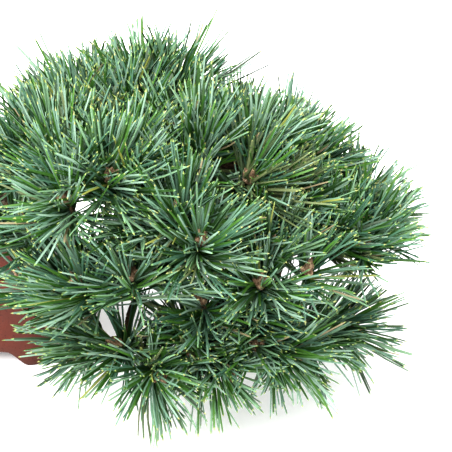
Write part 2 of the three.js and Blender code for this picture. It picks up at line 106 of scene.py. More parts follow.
# name, place along the trunk, middle of its pad, its tufts and the turn they start at: the solids' own rows
masses = [
    ("left_high", 0.485, (81, -98, 151), 6, 240), ("back_left", 0.445, (79, -42, 147), 6, 200),
    ("crest", 0.58, (107, -24, 152), 6, 70), ("centre_high", 0.7, (139, -72, 147), 6, 340),
    ("right_high", 0.855, (177, -50, 127), 6, 260), ("centre", 0.675, (130, -115, 136), 3, 20),
    ("centre_right", 0.825, (172, -104, 110), 3, 330), ("inner", 0.79, (140, -110, 86), 2, 240),
    ("right", 0.935, (203, -80, 104), 4, 140), ("far_right", 1, (224, -50, 98), 4, 120),
    ("left_middle", 0.555, (108, -120, 105), 3, 290), ("left_low", 0.405, (75, -98, 82), 3, 280),
    ("left", 0.365, (63, -80, 110), 3, 330), ("heart", 0.72, (135, -108, 57), 3, 180),
    ("low_left", 0.61, (100, -106, 58), 3, 60), ("low_right", 0.775, (165, -108, 62), 4, 180),
    ("low_far_right", 0.88, (193, -84, 50), 4, 60), ("back_right", 0.905, (193, 4, 86), 6, 240),
    ("back", 0.64, (92, 22, 108), 6, 350), ("back_low", 0.745, (140, 28, 88), 7, 260),
    ("back_high", 0.8, (152, 2, 118), 6, 0),
]

upward = np.array([0.0, 0.0, 1.0])
goldenAngle = math.radians(137.508)
fullTurn = 2 * math.pi


def mix(a, b, share):
    return a + (b - a) * share


def smoothStep(value, low, high):
    share = min(max((value - low) / (high - low), 0), 1)
    return share * share * (3 - 2 * share)


def unit(vectors):
    vectors = np.asarray(vectors, float)
    return vectors / np.maximum(np.linalg.norm(vectors, axis=-1, keepdims=True), 1e-9)


def seeded(seed):  # the solids' own draw from 0 to 1
    state = [seed & 0xFFFFFFFF]

    def draw():
        state[0] = (state[0] + 0x6D2B79F5) & 0xFFFFFFFF
        word = state[0]
        word = ((word ^ (word >> 15)) * (word | 1)) & 0xFFFFFFFF
        word ^= (word + ((word ^ (word >> 7)) * (word | 61))) & 0xFFFFFFFF
        return (word ^ (word >> 14)) / 4294967296

    return draw


# Making meshes

def toFrame(points):
    return np.asarray(points, float) * 0.001 + potMiddle


def makePiece(name, points, faces, looks, nodes, faceLooks=None, smooth=True):
    faces = np.asarray(faces, np.int32)
    mesh = bpy.data.meshes.new(name)
    mesh.vertices.add(len(points))
    mesh.vertices.foreach_set("co", toFrame(points).astype(np.float32).ravel())
    mesh.loops.add(faces.size)
    mesh.loops.foreach_set("vertex_index", faces.ravel())
    mesh.polygons.add(len(faces))
    mesh.polygons.foreach_set("loop_start", np.arange(0, faces.size, faces.shape[1], dtype=np.int32))
    mesh.polygons.foreach_set("use_smooth", np.full(len(faces), smooth))
    if faceLooks is not None:
        mesh.polygons.foreach_set("material_index", np.asarray(faceLooks, np.int32))
    for look in looks:
        mesh.materials.append(look)
    mesh.update(calc_edges=True)
    piece = bpy.data.objects.new(name, mesh)
    bpy.context.scene.collection.objects.link(piece)
    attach(piece, "root")
    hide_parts(*nodes)
    return piece


def skinOf(rings):  # a closed skin of triangles over rings of points, with a fan on each end
    count, sides = rings.shape[:2]
    a = (np.arange(count - 1)[:, None] * sides + np.arange(sides)[None, :]).ravel()
    b = (np.arange(count - 1)[:, None] * sides + (np.arange(sides)[None, :] + 1) % sides).ravel()
    points = np.concatenate([rings.reshape(-1, 3), rings[0].mean(0)[None], rings[-1].mean(0)[None]])
    low, high = count * sides, count * sides + 1
    i = np.arange(sides)
    j = (i + 1) % sides
    top = (count - 1) * sides
    faces = [
        np.stack([a, b, b + sides], 1), np.stack([a, b + sides, a + sides], 1),
        np.stack([j, i, np.full(sides, low)], 1), np.stack([top + i, top + j, np.full(sides, high)], 1),
    ]
    return points, np.concatenate(faces)


def joined(parts):  # many (points, faces) as one
    points, faces, start = [], [], 0
    for partPoints, partFaces in parts:
        points.append(partPoints)
        faces.append(partFaces + start)
        start += len(partPoints)
    return np.concatenate(points), np.concatenate(faces)


def acrossFrom(along):
    side = np.cross(along, upward)
    length = np.linalg.norm(side)
    return side / length if length > 0.3 else np.array([1.0, 0.0, 0.0])


def turned(vector, axis, angle):
    axis = unit(axis)
    flat = np.cross(axis, vector) * math.sin(angle)
    return vector * math.cos(angle) + flat + axis * np.dot(axis, vector) * (1 - math.cos(angle))


def limbRings(line, radiusAt, sides):
    # rings round a line of points; radiusAt(share, angles, middle) gives the radius all round
    line = np.asarray(line, float)
    steps = len(line) - 1
    angles = fullTurn * np.arange(sides) / sides
    tangents = unit(np.gradient(line, axis=0))
    side = acrossFrom(tangents[0])
    rings = np.empty((steps + 1, sides, 3))
    for s in range(steps + 1):
        along = tangents[s]
        side = unit(side - along * np.dot(side, along))
        across = np.cross(along, side)
        radius = np.broadcast_to(radiusAt(s / steps, angles, line[s]), angles.shape)
        ring = side[None] * np.cos(angles)[:, None] + across[None] * np.sin(angles)[:, None]
        rings[s] = line[s] + ring * radius[:, None]
    return rings


def bezier(points, shares):  # a curve of any degree through its control points
    layers = [np.repeat(np.asarray(p, float)[None], len(shares), 0) for p in points]
    share = np.asarray(shares, float)[:, None]
    while len(layers) > 1:
        layers = [a + (b - a) * share for a, b in zip(layers, layers[1:])]
    return layers[0]


def lumps(points, seed, scales, waves=5):  # soft bumps: a few crossed waves for each (size in mm, height)
    draw = np.random.default_rng(seed)
    total = np.zeros(len(points))
    for size, height in scales:
        for _ in range(waves):
            direction = unit(draw.normal(size=3))
            phase = points @ direction * (fullTurn / size) + draw.uniform(0, fullTurn)
            total += height / waves * np.sin(phase)
    return total


# The growing rule: trunk line, crown, tufts, boughs and twigs come out where the solids have them

trunkLine = np.array(trunkHabit["line"], float)


def trunkPoint(share):
    last = len(trunkLine) - 1
    i = min(int(min(max(share, 0), 1) * last), last - 1)
    w = min(max(share, 0), 1) * last - i
    before = trunkLine[i - 1] if i > 0 else 2 * trunkLine[0] - trunkLine[1]
    after = trunkLine[i + 2] if i + 2 <= last else 2 * trunkLine[last] - trunkLine[last - 1]
    start, end = trunkLine[i], trunkLine[i + 1]
    leave, arrive = 0.5 * (end - before), 0.5 * (after - start)
    curve = (-3 * start + 3 * end - 2 * leave - arrive) * w * w
    return start + leave * w + curve + (2 * start - 2 * end + leave + arrive) * w * w * w


def trunkTangent(share):
    return unit(trunkPoint(min(share + 1e-4, 1)) - trunkPoint(max(share - 1e-4, 0)))


def trunkRadius(share, angles, middle):
    t = trunkHabit
    flare = math.exp(-max(0, middle[2] - soilHabit["crest"]) / t["flareRise"])
    ridges = 1 + t["rootDepth"] * flare * np.cos(t["roots"] * angles)
    ridges = ridges + t["ripple"] * np.sin(3 * angles + 9 * share)
    return (mix(t["base"], t["tip"], share ** t["taper"]) + t["flare"] * flare) * ridges


def nearPot(points, clear):  # or near the ground
    points = np.atleast_2d(points)
    farX = np.abs(points[:, 0]) - potSizes["length"] / 2
    farY = np.abs(points[:, 1]) - potSizes["width"] / 2
    far = np.maximum(np.maximum(farX, farY), points[:, 2] - potSizes["height"])
    return (far < clear) | (points[:, 2] < clear + tuftHabit["groundClear"])


ofNoMass = -1
beads = []  # middle x, y, z, radius and mass of each bead along the limbs


def beadsAlong(pointAt, radiusAt, count, mass):
    for step in range(count + 1):
        middle = pointAt(step / count)
        beads.append((*middle, radiusAt(step / count, middle), mass))


def trunkReach(share, middle):
    return float(trunkRadius(share, np.zeros(1), middle)[0]) * (1 + trunkHabit["rootDepth"])


beadsAlong(trunkPoint, trunkReach, trunkHabit["beads"], ofNoMass)


def sowTufts():  # each mass is a bulging pad of tufts round its middle, facing out of the crown and up
    draw = seeded(4127)
    places, axes, owners = [], [], []
    trunkBeads = np.array(beads)
    p, t = padHabit, tuftHabit
    for mass, (name, leaves, middle, count, turn) in enumerate(masses):
        middle = np.array(middle, float)
        out = unit(middle - crownMiddle)
        facing = unit(out * p["outward"] + upward)
        across = unit(np.cross(upward, out))
        along = np.cross(facing, across)
        for k in range(count):
            away = p["step"] * math.sqrt(k + p["first"]) if k else 0
            angle = math.radians(turn) + k * goldenAngle
            place = middle + across * (math.cos(angle) * away * p["wide"])
            place = place + along * (math.sin(angle) * away * p["deep"])
            place = place - facing * (away * away / (2 * p["bulge"]) + (draw() - 0.5) * p["scatter"])
            shake = np.array([draw() - 0.5, draw() - 0.5, draw() - 0.5]) * t["spread"]
            axis = unit(place - crownMiddle) * t["outward"] + (place - middle) / t["fanReach"] * t["fan"]
            lift = mix(t["lowUp"], t["highUp"], smoothStep(place[2], t["low"], t["high"]))
            axis = unit(axis + upward * lift + shake)
            if nearPot(place, t["potClear"])[0]:
                continue
            if places and (np.linalg.norm(np.array(places) - place, axis=1) < t["apart"]).any():
                continue
            if (np.linalg.norm(trunkBeads[:, :3] - place, axis=1) < trunkBeads[:, 3] + t["trunkClear"]).any():
                continue
            places.append(place)
            axes.append(axis)
            owners.append(mass)
    return np.array(places), np.array(axes), np.array(owners)


tuftPlaces, tuftAxes, tuftOwners = sowTufts()
tuftHearts = tuftPlaces + tuftAxes * tuftHabit["heart"]
joins = tuftPlaces - tuftAxes * tuftHabit["join"]  # where a twig meets its tuft


def depthInMass(points, mass):
    far = np.linalg.norm(np.atleast_2d(points)[:, None] - tuftHearts[None], axis=2)
    own = tuftOwners == mass
    return (far[:, ~own].min(1) - far[:, own].min(1)) / 2


def growBoughs():  # each leaves the trunk and ends where it comes into its mass
    b = boughHabit
    curves, feet = {}, []
    for mass, (name, leaves, middle, count, turn) in enumerate(masses):
        root, along = trunkPoint(leaves), trunkTangent(leaves)
        if leaves == 1:  # this mass sits on the trunk's own tip
            feet.append((root, along))
            continue
        goal = tuftPlaces[tuftOwners == mass].mean(0)
        core = mix(crownMiddle, root, b["core"])
        share = b["shortest"]
        while share < b["longest"] and depthInMass(mix(core, goal, share), mass)[0] < b["insideMass"]:
            share += b["reachStep"]
        foot = mix(core, goal, share)
        span = np.linalg.norm(foot - root)
        bend = mix(root, foot, b["bendAt"]) + along * span * b["sweep"] + upward * span * b["arch"]
        curves[name] = (root, bend, foot)
        feet.append((foot, unit(foot - bend)))
        beadsAlong(lambda share: bezier((root, bend, foot), [share])[0],
                   lambda share, middle: mix(b["thick"], b["thin"], share), b["beads"], ofNoMass)
    return curves, feet


def growStems():  # from each bough's end to the first tuft of its mass
    grown = []
    for mass, (foot, onward) in enumerate(massFeet):
        lead = int(np.nonzero(tuftOwners == mass)[0][0])
        bend = foot + onward * np.linalg.norm(foot - tuftPlaces[lead]) * twigHabit["stemBend"]
        neck = tuftPlaces[lead] - tuftAxes[lead] * tuftHabit["neck"] * twigHabit["stemNeck"]
        stem = (foot, bend, neck, joins[lead])
        grown.append(stem)
        beadsAlong(lambda share: bezier(stem, [share])[0],
                   lambda share, middle: mix(boughHabit["thin"], twigHabit["thin"], share),
                   twigHabit["stemBeads"], mass)
    return grown


boughCurves, massFeet = growBoughs()
limbBeads = np.array(beads)
stems = growStems()


def clearOfLimbs(start, end, mass):
    others = np.array([bead for bead in beads if bead[4] != mass])
    shares = np.linspace(0, 1, 11)
    points = mix(start, end, shares[:, None])
    radius = mix(twigHabit["thick"], twigHabit["thin"], shares)
    far = np.linalg.norm(points[:, None] - others[None, :, :3], axis=2)
    return not (far < others[None, :, 3] + radius[:, None] + twigHabit["clear"]).any()


def growMass(mass):  # the twigs (fork, goal, tuft) of one mass and the tufts that its stem and twigs carry
    t = twigHabit
    own = [int(i) for i in np.nonzero(tuftOwners == mass)[0]]
    forks = [bezier(stems[mass], [at])[0] for at in t["forks"]]
    carried, twigs = own[:1], []
    for i in own + own:
        if i in carried:
            continue
        for fork in forks:
            along = mix(fork, joins[i], np.linspace(t["strayFrom"], 1, 5)[:, None])
            depths = depthInMass(along, mass)
            if depths.min() < -t["stray"] or depths[-1] < t["thin"]:
                continue
            if clearOfLimbs(mix(fork, joins[i], t["clearFrom"]), joins[i], mass):
                twigs.append((fork, joins[i], i))
                forks += [mix(fork, joins[i], at) for at in t["sideForks"]]
                carried.append(i)
                beadsAlong(lambda share: mix(fork, joins[i], share),
                           lambda share, middle: mix(t["thick"], t["thin"], share), t["beads"], mass)
                break
    return stems[mass], twigs, carried


grownMasses = [growMass(mass) for mass in range(len(masses))]
carriedCount = sum(len(carried) for stem, twigs, carried in grownMasses)
print("grown:", len(tuftPlaces), "tufts on", len(masses), "masses,", carriedCount, "of them carried")


# Finishes

def linear(red, green, blue):  # from the 0-255 values that a screen shows
    def one(value):
        value = value / 255
        return value / 12.92 if value <= 0.04045 else ((value + 0.055) / 1.055) ** 2.4
    return (one(red), one(green), one(blue), 1)


def grey(value):
    return (value, value, value, 1)


def newLook(name):
    look = bpy.data.materials.new(name)
    look.use_nodes = True
    nodes, links = look.node_tree.nodes, look.node_tree.links
    shader = nodes["Principled BSDF"]
    return look, nodes, links, shader


def noiseNode(nodes, links, place, scale, detail=4, roughness=0.55):
    noise = nodes.new("ShaderNodeTexNoise")
    noise.inputs["Scale"].default_value = scale
    noise.inputs["Detail"].default_value = detail
    noise.inputs["Roughness"].default_value = roughness
    links.new(place.outputs["Object"], noise.inputs["Vector"])
    return noise


def rampNode(nodes, links, source, stops):
    ramp = nodes.new("ShaderNodeValToRGB")
    ends = ramp.color_ramp.elements
    while len(ends) < len(stops):
        ends.new(0.5)
    for end, (at, colour) in zip(ends, stops):
        end.position = at
        end.color = colour
    links.new(source, ramp.inputs["Fac"])
    return ramp


def mixNode(nodes, links, first, second, share, blend="MIX"):  # second: a plain colour or a node's output
    node = nodes.new("ShaderNodeMix")
    node.data_type = "RGBA"
    node.blend_type = blend
    links.new(first, node.inputs["A"])
    if isinstance(second, tuple):
        node.inputs["B"].default_value = second
    else:
        links.new(second, node.inputs["B"])
    if isinstance(share, float):
        node.inputs["Factor"].default_value = share
    else:
        links.new(share, node.inputs["Factor"])
    return node.outputs["Result"]


def bumpOn(nodes, links, shader, height, strength, distance):
    bump = nodes.new("ShaderNodeBump")
    bump.inputs["Strength"].default_value = strength
    bump.inputs["Distance"].default_value = distance
    links.new(height, bump.inputs["Height"])
    links.new(bump.outputs["Normal"], shader.inputs["Normal"])


clayFinish = {
    "pale": (93, 43, 29), "body": (82, 35, 23), "dark": (66, 28, 19), "foot": (70, 37, 29),
    "footFade": 0.018, "cloudScale": 22, "speckScale": 900, "speckShare": 0.8, "grainScale": 420,
    "satin": 0.5, "matt": 0.66, "specular": 0.2,
}


def clayLook():
    c = clayFinish
    look, nodes, links, shader = newLook("stoneware clay")
    place = nodes.new("ShaderNodeTexCoord")
    clouds = noiseNode(nodes, links, place, c["cloudScale"], 5)
    tone = rampNode(nodes, links, clouds.outputs["Fac"], [
        (0.3, linear(*c["dark"])), (0.5, linear(*c["body"])), (0.72, linear(*c["pale"])),
    ])
    height = nodes.new("ShaderNodeSeparateXYZ")
    links.new(place.outputs["Object"], height.inputs["Vector"])
    low = nodes.new("ShaderNodeMapRange")
    low.inputs["From Min"].default_value = c["footFade"]
    low.inputs["From Max"].default_value = 0.0
    links.new(height.outputs["Z"], low.inputs["Value"])
    base = mixNode(nodes, links, tone.outputs["Color"], linear(*c["foot"]), low.outputs["Result"])
    specks = noiseNode(nodes, links, place, c["speckScale"], 2)
    speckle = rampNode(nodes, links, specks.outputs["Fac"], [
        (0.33, (0.55, 0.5, 0.5, 1)), (0.4, grey(1)), (0.68, grey(1)), (0.76, (1.3, 1.25, 1.2, 1)),
    ])
    speckled = mixNode(nodes, links, base, speckle.outputs["Color"], c["speckShare"], "MULTIPLY")
    links.new(speckled, shader.inputs["Base Color"])
    sheen = rampNode(nodes, links, clouds.outputs["Fac"], [(0.3, grey(c["satin"])), (0.7, grey(c["matt"]))])
    links.new(sheen.outputs["Color"], shader.inputs["Roughness"])
    shader.inputs["Specular IOR Level"].default_value = c["specular"]
    grain = noiseNode(nodes, links, place, c["grainScale"], 5, 0.6)
    bumpOn(nodes, links, shader, grain.outputs["Fac"], 0.35, 0.0003)
    return look


barkFinish = {
    "crackScale": 2.2, "crackTone": (0.35, 0.32, 0.3, 1), "crackWidth": 0.12, "crackShare": 0.75,
    "roughness": 0.88, "specular": 0.25, "fineScale": 6,
}


def barkLook(name, tones, scale):
    b = barkFinish
    look, nodes, links, shader = newLook(name)
    place = nodes.new("ShaderNodeTexCoord")
    patches = noiseNode(nodes, links, place, scale, 6, 0.65)
    stops = [(at, linear(*tone)) for at, tone in zip((0.34, 0.46, 0.58, 0.7), tones)]
    tone = rampNode(nodes, links, patches.outputs["Fac"], stops)
    cracks = nodes.new("ShaderNodeTexVoronoi")
    cracks.feature = "DISTANCE_TO_EDGE"
    cracks.inputs["Scale"].default_value = scale * b["crackScale"]
    links.new(place.outputs["Object"], cracks.inputs["Vector"])
    gap = rampNode(nodes, links, cracks.outputs["Distance"], [
        (0.0, b["crackTone"]), (b["crackWidth"], grey(1)),
    ])
    shade = mixNode(nodes, links, tone.outputs["Color"], gap.outputs["Color"], b["crackShare"], "MULTIPLY")
    links.new(shade, shader.inputs["Base Color"])
    shader.inputs["Roughness"].default_value = b["roughness"]
    shader.inputs["Specular IOR Level"].default_value = b["specular"]
    fine = noiseNode(nodes, links, place, scale * b["fineScale"], 6, 0.7)
    bumpOn(nodes, links, shader, fine.outputs["Fac"], 0.8, 0.0008)
    return look


gritFinish = {"dustScale": 700, "poreScale": 1500, "roughness": 0.95, "specular": 0.2}


def gritLook(name, pale, dark):
    g = gritFinish
    look, nodes, links, shader = newLook(name)
    place = nodes.new("ShaderNodeTexCoord")
    dust = noiseNode(nodes, links, place, g["dustScale"], 4, 0.6)
    tone = rampNode(nodes, links, dust.outputs["Fac"], [(0.35, linear(*dark)), (0.65, linear(*pale))])
    links.new(tone.outputs["Color"], shader.inputs["Base Color"])
    shader.inputs["Roughness"].default_value = g["roughness"]
    shader.inputs["Specular IOR Level"].default_value = g["specular"]
    pores = noiseNode(nodes, links, place, g["poreScale"], 3, 0.7)
    bumpOn(nodes, links, shader, pores.outputs["Fac"], 0.6, 0.0004)
    return look


def needleLook(name, colour, roughness=0.42, specular=0.45):
    look, _, _, shader = newLook(name)
    shader.inputs["Base Color"].default_value = linear(*colour)
    shader.inputs["Roughness"].default_value = roughness
    shader.inputs["Specular IOR Level"].default_value = specular
    return look


# The pot: one wall that widens up to its lip, four feet with S-curved openings between them, two drain holes

def potRing(inset, z):
    radius = potSizes["corner"] - inset * potSizes["cornerShrink"]
    halfX, halfY = potSizes["length"] / 2 - inset, potSizes["width"] / 2 - inset
    corner = np.radians(np.linspace(0, 90, potSizes["cornerSteps"] + 1))
    ring = []
    for quarter, (sx, sy) in enumerate(((1, 1), (-1, 1), (-1, -1), (1, -1))):
        turn = corner + math.radians(90 * quarter)
        x = sx * (halfX - radius) + radius * np.cos(turn)
        y = sy * (halfY - radius) + radius * np.sin(turn)
        ring.append(np.stack([x, y], 1))
        longSide = quarter in (0, 2)
        steps = potSizes["sideSteps"] if longSide else potSizes["endSteps"]
        ahead = np.array((-x[-1], y[-1])) if longSide else np.array((x[-1], -y[-1]))
        shares = np.linspace(0, 1, steps + 2)[1:-1, None]
        ring.append(mix(np.array([x[-1], y[-1]]), ahead, shares))
    flat = np.concatenate(ring)
    return np.column_stack([flat, np.broadcast_to(z, len(flat))])


def footLine(ring):  # the height of the pot's lower edge at each point round it
    def opening(along, half):
        away = np.abs(along) - half
        rise = 1 - np.clip(away / potSizes["cutoutEase"], 0, 1)
        return potSizes["cutoutHeight"] * (rise * rise * (3 - 2 * rise)) ** 0.9

    onFront = np.abs(ring[:, 1]) > potSizes["width"] / 2 - potSizes["corner"]
    front = opening(ring[:, 0], potSizes["cutoutFront"])
    side = opening(ring[:, 1], potSizes["cutoutSide"])
    return np.where(onFront, front, side)


def makePot():
    s = potSizes
    top, under, floor = s["height"], s["height"] - s["lipHeight"], s["floorTop"]
    ease = footLine(potRing(s["footInset"], 0))
    rings = [potRing(s["underInset"], s["floorBottom"])]

    def wallRing(inset, z, share):  # share 1 follows the feet's edge, 0 is level
        rings.append(potRing(inset, z + ease * share))

    wallRing(s["underInset"], 0, 1)
    for more, z in s["footRound"]:
        wallRing(s["footInset"] + more, z, 1)
    wallRing(mix(s["footInset"], s["bellyInset"], 0.35), 4, 0.85)
    for step in range(1, s["lowSteps"] + 1):
        z = mix(6, s["belly"], step / s["lowSteps"])
        inset = mix(s["footInset"], s["bellyInset"], min(z / floor, 1))
        wallRing(inset, z, 0.7 * (1 - step / s["lowSteps"]))
    for step in range(1, s["wallSteps"] + 1):
        z = mix(s["belly"], under - 0.8, step / s["wallSteps"])
        wallRing(mix(s["bellyInset"], s["lipInset"] + 0.4, (step / s["wallSteps"]) ** 0.8), z, 0)
    lipAndInside = [  # inset and height, up the lip's outside, over it and down to the floor
        (s["lipInset"] + 0.3, under - 0.1), (s["lipInset"] * 0.75, under + 0.35),
        (s["lipInset"] * 0.3, under + 0.8), (0.25, under + 1.5), (0, under + 2.6),
        (0, top - 2.4), (0.2, top - 1.2), (0.75, top - 0.4), (1.6, top),
        (s["wall"] - 1.6, top), (s["wall"] - 0.7, top - 0.4), (s["wall"] - 0.15, top - 1.2),
        (s["wall"], top - 2.4), (s["wall"] + 1.4, top - 20),
        (s["floorInset"], floor + 1), (s["floorInset"] + 3, floor),
    ]
    for inset, z in lipAndInside:
        wallRing(inset, z, 0)
    points, faces = skinOf(np.array(rings))
    piece = makePiece("potBody", points, faces, [clayLook()], ["pot"])
    for side in (-0.5, 0.5):
        middle = toFrame([[side * s["drainApart"], 0, s["floorBottom"]]])[0]
        bpy.ops.mesh.primitive_cylinder_add(
            vertices=48, radius=s["drainRadius"] / 1000, depth=0.06, location=middle)
        cutter = bpy.context.object
        cut = piece.modifiers.new("drain", "BOOLEAN")
        cut.object = cutter
        cut.solver = "EXACT"
        bpy.context.view_layer.objects.active = piece
        bpy.ops.object.modifier_apply(modifier=cut.name)
        bpy.data.objects.remove(cutter)
    piece.data.polygons.foreach_set("use_smooth", np.full(len(piece.data.polygons), True))
    piece.data.set_sharp_from_angle(angle=math.radians(s["sharpAngle"]))


def grainBall():  # points and faces of a small round ball
    ball = bpy.data.meshes.new("grainBall")
    shape = bmesh.new()
    bmesh.ops.create_icosphere(shape, subdivisions=2, radius=1)
    shape.to_mesh(ball)
    shape.free()
    points = np.array([v.co for v in ball.vertices])
    faces = np.array([p.vertices[:] for p in ball.polygons])
    bpy.data.meshes.remove(ball)
    return points, faces


def makeSoil():
    s, h = potSizes, soilHabit
    draw = np.random.default_rng(71)
    share = (h["edge"] - s["floorTop"]) / (s["height"] + s["innerRise"] - s["floorTop"])
    edge = potRing(mix(s["floorInset"], s["wall"], share) + h["clear"], h["edge"] - h["sunk"])
    foot = np.array([*trunkHabit["foot"], 0.0])
    rings = [potRing(s["floorInset"] + h["clear"], s["floorTop"] + h["clear"]), edge]
    goal = foot + unit(edge * (1, 1, 0) - foot * (1, 1, 0)) * h["plateau"]
    for inward, upShare in h["mound"]:
        ring = mix(edge, goal, inward)
        ring[:, 2] = mix(h["edge"], h["crest"], upShare) - h["sunk"]
        rings.append(ring)
    points, faces = skinOf(np.array(rings))
    looks = [
        gritLook("dark grit bed", (64, 54, 43), (40, 33, 27)),
        gritLook("cream grit", (140, 131, 112), (112, 103, 85)),
        gritLook("tan grit", (114, 96, 72), (86, 69, 50)),
        gritLook("grey grit", (96, 92, 84), (66, 61, 55)),
        gritLook("brown grit", (76, 61, 48), (52, 41, 32)),
    ]
    # the bed under the loose grains has the darkest grit colour, darker than any grain on it
    makePiece("soilBed", points, faces, looks[:1], ["soil"])
    # loose grains on top, each a small bent ball
    ballPoints, ballFaces = grainBall()
    halfX, halfY = edge[:, 0].max(), edge[:, 1].max()
    parts, faceLooks = [], []
    while len(parts) < h["grains"]:
        x, y = draw.uniform(-halfX, halfX), draw.uniform(-halfY, halfY)
        overX, overY = max(abs(x) - halfX + h["corner"], 0), max(abs(y) - halfY + h["corner"], 0)
        fromTrunk = math.hypot(x - foot[0], y - foot[1])
        if math.hypot(overX, overY) > h["cornerReach"] or fromTrunk < h["trunkClear"]:
            continue
        size = mix(h["smallest"], h["largest"], draw.random() ** h["mostlySmall"])
        down = min(1, max(0, (fromTrunk - h["plateau"]) / h["slope"]))
        z = mix(h["crest"], h["edge"], down) - h["bedded"] + draw.uniform(*h["heaped"])
        grain = ballPoints * draw.uniform(*h["stretch"], 3)
        grain = grain * (1 + lumps(grain, int(draw.integers(1 << 30)), h["dents"]))[:, None]
        turn, tilt = draw.uniform(0, fullTurn), draw.uniform(-h["tilt"], h["tilt"])
        ct, st, cl, sl = math.cos(turn), math.sin(turn), math.cos(tilt), math.sin(tilt)
        spin = np.array([[ct, -st * cl, st * sl], [st, ct * cl, -ct * sl], [0, sl, cl]])
        parts.append((grain @ spin.T * size + (x, y, z), ballFaces))
        faceLooks.append(np.full(len(ballFaces), draw.choice(len(h["kinds"]), p=h["kinds"])))
    points, faces = joined(parts)
    makePiece("soilGrains", points, faces, looks[1:], ["soil"], np.concatenate(faceLooks))


makePot()
makeSoil()
print("pot and soil made")


# Bark

barkHabit = {
    "wide": ((11, 1.0), (6, 0.6)), "narrow": ((5.5, 1.0), (3, 0.5)), "narrowShare": 1.3,
    "crack": 0.22, "crackShape": 0.6, "sunk": 0.75, "grain": ((2.2, 1.0), (1.2, 0.7)), "grainShare": 0.25,
    "deepest": 0.11,  # the relief's limit, as a share of the limb's radius
}


def barkRelief(points, seed):
    # raised scales with narrow cracks between them: where two waves cross zero the bark splits
    b = barkHabit
    wide = lumps(points, seed, b["wide"])
    narrow = lumps(points, seed + 7, b["narrow"])
    cracks = np.minimum(np.abs(wide), b["narrowShare"] * np.abs(narrow))
    plates = np.minimum(cracks / b["crack"], 1) ** b["crackShape"]
    return plates - b["sunk"] + b["grainShare"] * lumps(points, seed + 1, b["grain"])


def barkTube(line, radiusAt, sides, seed, depth):
    rings = limbRings(line, radiusAt, sides)
    middles = np.repeat(np.asarray(line, float)[:, None], sides, 1)
    out = unit(rings - middles)
    relief = barkRelief(rings.reshape(-1, 3), seed).reshape(rings.shape[:2])
    radius = np.linalg.norm(rings - middles, axis=2)
    rings = rings + out * (relief * np.minimum(depth, radius * barkHabit["deepest"]))[..., None]
    return skinOf(rings)


def makeTrunk():
    t = trunkHabit
    shares = np.linspace(0, 1, t["steps"] + 1)
    line = np.array([trunkPoint(s) for s in shares])
    start = int(np.argmax(line[:, 2] > soilHabit["crest"] - t["sunk"]))

    def radiusAt(share, angles, middle):
        return trunkRadius(mix(shares[start], 1, share), angles, middle)

    points, faces = barkTube(line[start:], radiusAt, t["sides"], 11, t["barkDepth"])
    look = barkLook("old bark", ((34, 27, 22), (62, 51, 42), (88, 75, 63), (116, 103, 89)), 190)
    makePiece("trunkBark", points, faces, [look], ["trunk"])


def makeBoughs():
    b = boughHabit

    def radiusAt(share, angles, middle):
        collar = b["collar"] * math.exp(-share * b["collarFade"])
        return mix(b["thick"], b["thin"], share) + collar + b["ripple"] * np.sin(2 * angles + 20 * share)

    parts = []
    for seed, curve in enumerate(boughCurves.values()):
        line = bezier(curve, np.linspace(0, 1, b["steps"] + 1))
        parts.append(barkTube(line, radiusAt, b["sides"], 40 + seed, b["barkDepth"]))
    points, faces = joined(parts)
    look = barkLook("bough bark", ((38, 30, 24), (66, 54, 43), (90, 75, 61), (112, 96, 80)), 320)
    makePiece("boughBark", points, faces, [look], [f"bough_{name}" for name in boughCurves])


makeTrunk()
makeBoughs()
print("trunk and boughs made")


# Needles

needleHabit = {
    "bundles": 42, "bundleOf": 5, "shootLength": 12, "shootRadius": 1.1, "belowTip": 1, "footApart": 0.45,
    "length": 33, "lengthSpread": 0.1, "atTip": 0.9, "eachLength": (0.9, 1.06),
    "topGrowth": 1.1, "topFrom": 125, "topFull": 155,  # longer needles at the crown's top
    "width": 1.12, "eachWidth": (0.85, 1.15),
    "stations": (0, 0.3, 0.7, 0.958), "widths": (0.75, 1.0, 1.0, 0.74),
    "section": ((0.5, 0.2), (0.0, -0.42), (-0.5, 0.2)),  # its three corners, in widths
    "innerAngle": 25, "outerAngle": 78, "angleSpread": 9, "angleShape": 0.95,
    "splay": 5, "eachSplay": (0.45, 1.5), "turnSpread": 0.2,
    "bend": 0.12, "bendMost": 0.16, "bundleBend": 0.15, "forwardBend": 0.03, "forwardSpread": 0.06,
    "lowestAim": -0.8, "highestAim": 0.12, "aimLow": 50, "aimHigh": 85, "aimSpread": 0.06,
    "thinFrom": 0.15, "thinTo": 0.6, "thinnest": 0.4,  # how far down they point, and the share left there
    "yellowShare": 0.012, "brownShare": 0.006, "oldShare": 0.15,
    "dryPlace": (165, -78, 128), "dryReach": 14, "dryShare": 0.45,  # a dull patch in the crown
    "limbPress": 0.92, "potClear": 0.4,
}
greens = ((37, 67, 22), (48, 84, 28), (64, 103, 38), (25, 50, 18))
blues = ((96, 128, 107), (119, 145, 126), (66, 101, 80), (103, 135, 103))
oldGreens = ((78, 92, 56), (94, 104, 68), (60, 78, 46))
tips = ((138, 154, 86), (118, 144, 80), (146, 149, 92), (104, 138, 88))
needleLooks = [needleLook(f"needle green {i}", c) for i, c in enumerate(greens)]
needleLooks += [needleLook(f"needle blue {i}", c, 0.5) for i, c in enumerate(blues)]
needleLooks += [needleLook(f"needle tip {i}", c, 0.5) for i, c in enumerate(tips)]
needleLooks += [needleLook("needle yellow", (128, 134, 64)), needleLook("needle brown", (136, 124, 96), 0.6)]
yellowLook, brownLook = len(needleLooks) - 2, len(needleLooks) - 1
needleLooks += [needleLook(f"needle old {i}", c, 0.6) for i, c in enumerate(oldGreens)]


def alongNeedles(base, aim, bend, length, at):  # the point at this share of every needle's length
    return base + aim * (length * at)[:, None] + bend * (length * at * at)[:, None]


